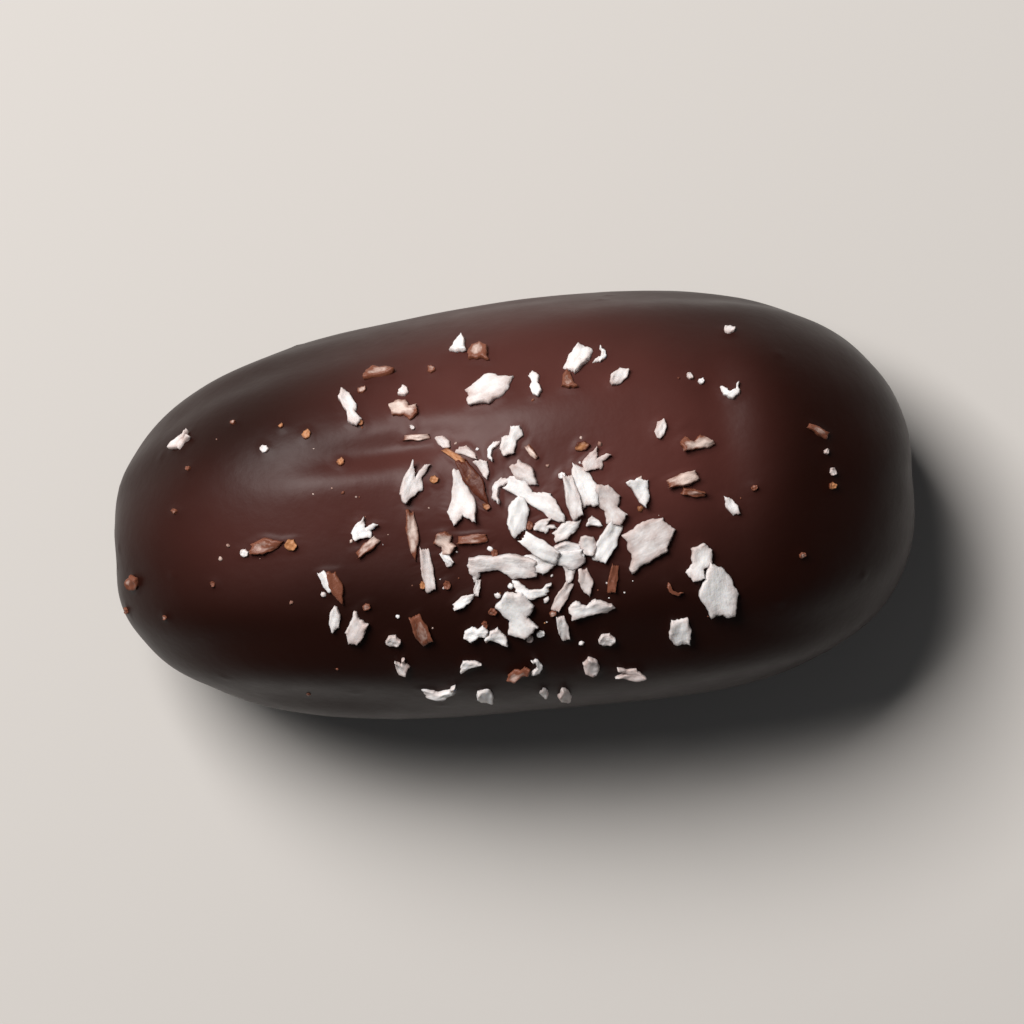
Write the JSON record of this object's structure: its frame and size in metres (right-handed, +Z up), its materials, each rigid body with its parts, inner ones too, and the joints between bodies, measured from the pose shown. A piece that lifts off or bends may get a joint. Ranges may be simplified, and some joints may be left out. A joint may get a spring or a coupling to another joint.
{
  "type": "chocolate-covered date",
  "caption": "Whole date dipped in dark chocolate, strewn with shredded coconut, lying on a flat underside with a thin foot.",
  "frame": {"origin": "the middle of the flat underside that the piece rests on", "axes": "+X along the length towards the wider end, +Y across it, +Z up from the tray through the coconut-strewn top"},
  "size_m": [0.0509, 0.0261, 0.0226],
  "materials": {
    "dark_chocolate": "satin",
    "coconut": "matte",
    "smeared_coconut": "satin",
    "coconut_skin": "matte"
  },
  "bodies": {
    "root": {"chocolate_date": "dark_chocolate"}
  },
  "joints": []
}
